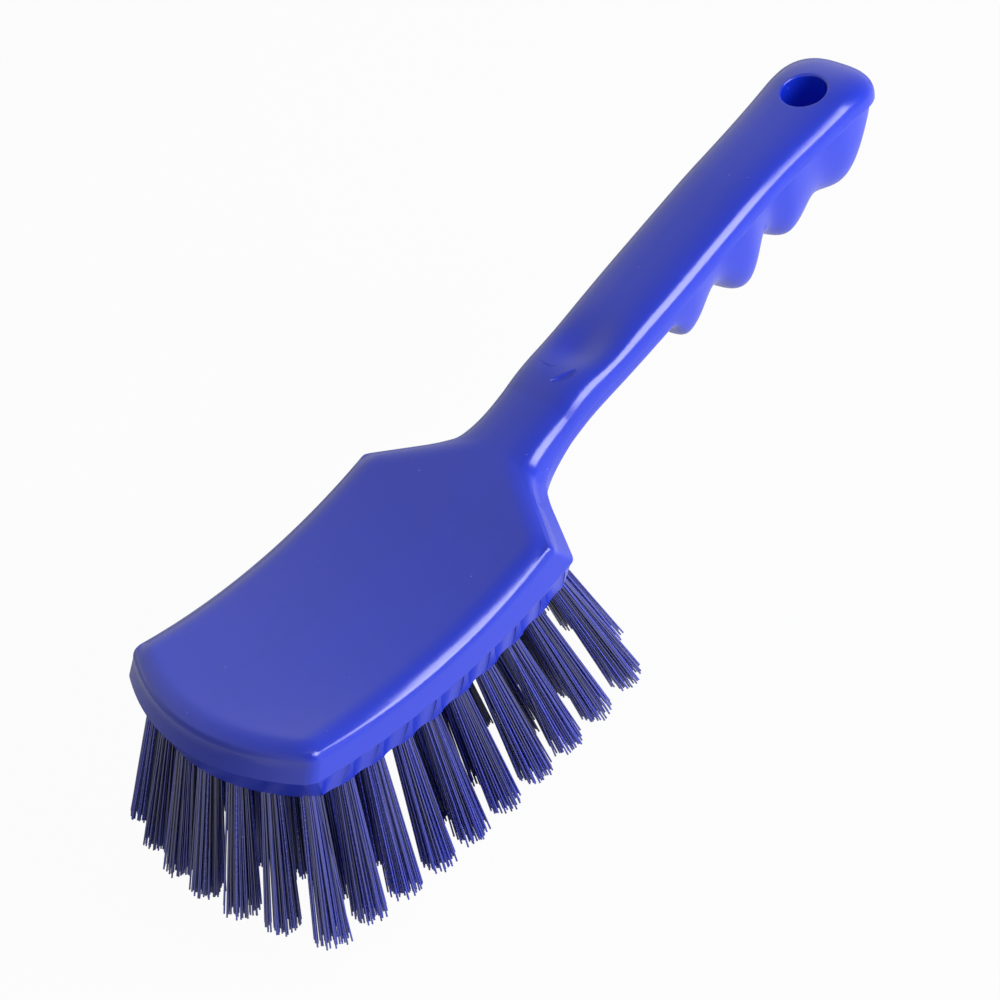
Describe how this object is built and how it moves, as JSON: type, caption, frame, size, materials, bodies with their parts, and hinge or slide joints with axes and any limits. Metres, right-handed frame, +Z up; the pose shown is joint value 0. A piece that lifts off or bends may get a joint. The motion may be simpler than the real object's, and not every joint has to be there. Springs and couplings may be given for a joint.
{
  "type": "short-handled scrub brush",
  "caption": "Hand scrub brush: a one-piece moulded block and raised handle with finger grooves and a hanging hole, set with stiff bristle tufts.",
  "frame": {"origin": "middle of the bounding box's underside, at the level of the lowest bristle tips", "axes": "+X from the block towards the handle's hanging hole, +Z up from the bristles to the top face, +Y to the left of someone looking along the handle away from the block"},
  "size_m": [0.2842, 0.0822, 0.0994],
  "materials": {
    "back_plastic": "moulded, glossy",
    "bristle": "extruded filament, satin"
  },
  "bodies": {
    "root": {"brush_back": "back_plastic", "tuft_1_01": "bristle", "tuft_1_02": "bristle", "tuft_1_03": "bristle", "tuft_1_04": "bristle", "tuft_1_05": "bristle", "tuft_1_06": "bristle", "tuft_1_07": "bristle", "tuft_1_08": "bristle", "tuft_1_09": "bristle", "tuft_1_10": "bristle", "tuft_2_01": "bristle", "tuft_2_02": "bristle", "tuft_2_03": "bristle", "tuft_2_04": "bristle", "tuft_2_05": "bristle", "tuft_2_06": "bristle", "tuft_2_07": "bristle", "tuft_2_08": "bristle", "tuft_3_01": "bristle", "tuft_3_02": "bristle", "tuft_3_03": "bristle", "tuft_3_04": "bristle", "tuft_3_05": "bristle", "tuft_3_06": "bristle", "tuft_3_07": "bristle", "tuft_4_01": "bristle", "tuft_4_02": "bristle", "tuft_4_03": "bristle", "tuft_4_04": "bristle", "tuft_4_05": "bristle", "tuft_4_06": "bristle", "tuft_4_07": "bristle", "tuft_4_08": "bristle", "tuft_5_01": "bristle", "tuft_5_02": "bristle", "tuft_5_03": "bristle", "tuft_5_04": "bristle", "tuft_5_05": "bristle", "tuft_5_06": "bristle", "tuft_5_07": "bristle", "tuft_6_01": "bristle", "tuft_6_02": "bristle", "tuft_6_03": "bristle", "tuft_6_04": "bristle", "tuft_6_05": "bristle", "tuft_6_06": "bristle", "tuft_6_07": "bristle", "tuft_6_08": "bristle", "tuft_7_01": "bristle", "tuft_7_02": "bristle", "tuft_7_03": "bristle", "tuft_7_04": "bristle", "tuft_7_05": "bristle", "tuft_7_06": "bristle", "tuft_7_07": "bristle", "tuft_7_08": "bristle", "tuft_7_09": "bristle", "tuft_7_10": "bristle"}
  },
  "joints": []
}
